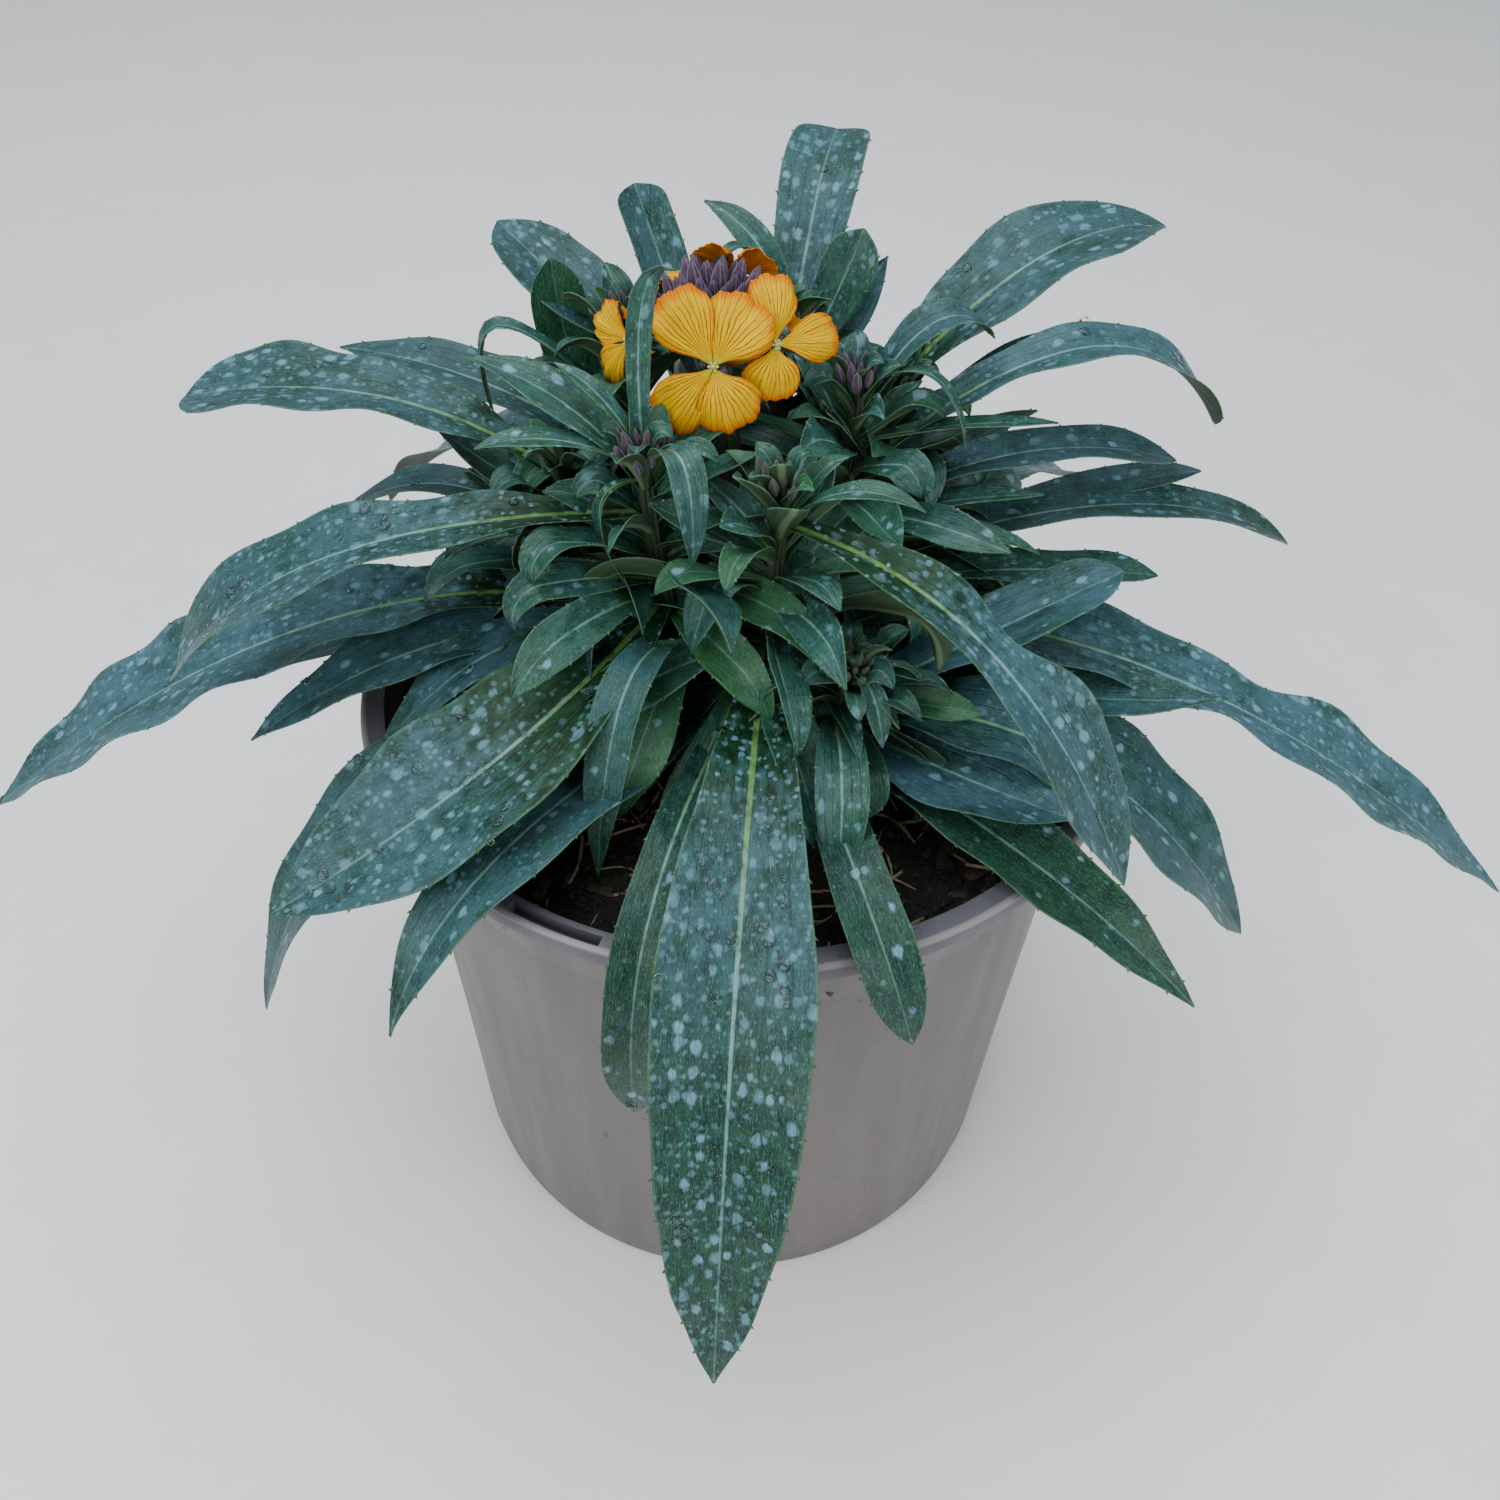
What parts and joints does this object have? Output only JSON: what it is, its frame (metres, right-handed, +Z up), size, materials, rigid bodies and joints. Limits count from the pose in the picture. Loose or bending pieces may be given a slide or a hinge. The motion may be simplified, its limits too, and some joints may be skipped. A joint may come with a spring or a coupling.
{
  "type": "potted wallflower plant",
  "caption": "Bushy wallflower with long arching leaves, young leaf tufts and a head of yellow blooms, standing in a round plastic nursery pot filled with compost.",
  "frame": {"origin": "middle of the pot's flat underside", "axes": "+Z up the pot's axis, -Y towards the front of the picture's view, +X to the right of it"},
  "size_m": [0.3948, 0.307, 0.2684],
  "materials": {
    "pot": "taupe grey moulded plastic, satin, lightly scuffed",
    "compost": "moist dark compost with bark bits and fine roots",
    "stem": "dull green and purple-grey stems",
    "leaf": "dark blue-green leaf with a waxy bloom and pale spots",
    "young_leaf": "fresh dark green young leaf, slightly glossy",
    "flower": "golden yellow petals with orange-red margins"
  },
  "bodies": {
    "root": {"pot": "pot", "compost": "compost", "main_stem": "stem", "shoot_left_front": "stem", "shoot_front": "stem", "shoot_front_right": "stem", "shoot_right": "stem", "shoot_left_back": "stem", "shoot_left": "stem", "shoot_back": "stem", "shoot_right_back": "stem", "flower_head": "flower", "leaf_front": "leaf", "leaf_front_left": "leaf", "leaf_front_right": "leaf", "leaf_front_hanging": "leaf", "leaf_front_short": "leaf", "leaf_front_tucked": "leaf", "leaf_left_front_low": "leaf", "leaf_left_low": "leaf", "leaf_left_arch": "leaf", "leaf_left_long": "leaf", "leaf_left_upper": "leaf", "leaf_left_behind": "leaf", "leaf_left_mid": "leaf", "leaf_left_inner": "leaf", "leaf_left_narrow": "leaf", "leaf_left_shaded": "leaf", "leaf_back_left": "leaf", "leaf_back_upright": "leaf", "leaf_back_spoon": "leaf", "leaf_back_tall": "leaf", "leaf_back_pale": "leaf", "leaf_behind_right": "leaf", "leaf_behind_mid_right": "leaf", "leaf_behind_mid": "leaf", "leaf_behind_mid_left": "leaf", "leaf_behind_left": "leaf", "leaf_right_upper": "leaf", "leaf_right_curled": "leaf", "leaf_right_small": "leaf", "leaf_right_arch": "leaf", "leaf_right_mid": "leaf", "leaf_right_straight": "leaf", "leaf_right_long": "leaf", "leaf_right_inner": "leaf", "leaf_right_far": "leaf", "leaf_right_low": "leaf", "leaf_right_drooping": "leaf", "leaf_right_broad": "leaf", "leaf_right_front_low": "leaf", "tuft_left_front": "young_leaf", "tuft_front": "young_leaf", "tuft_front_right": "young_leaf", "tuft_right": "young_leaf", "tuft_left_back": "young_leaf", "tuft_left": "young_leaf", "tuft_back": "young_leaf", "tuft_right_back": "young_leaf"}
  },
  "joints": []
}
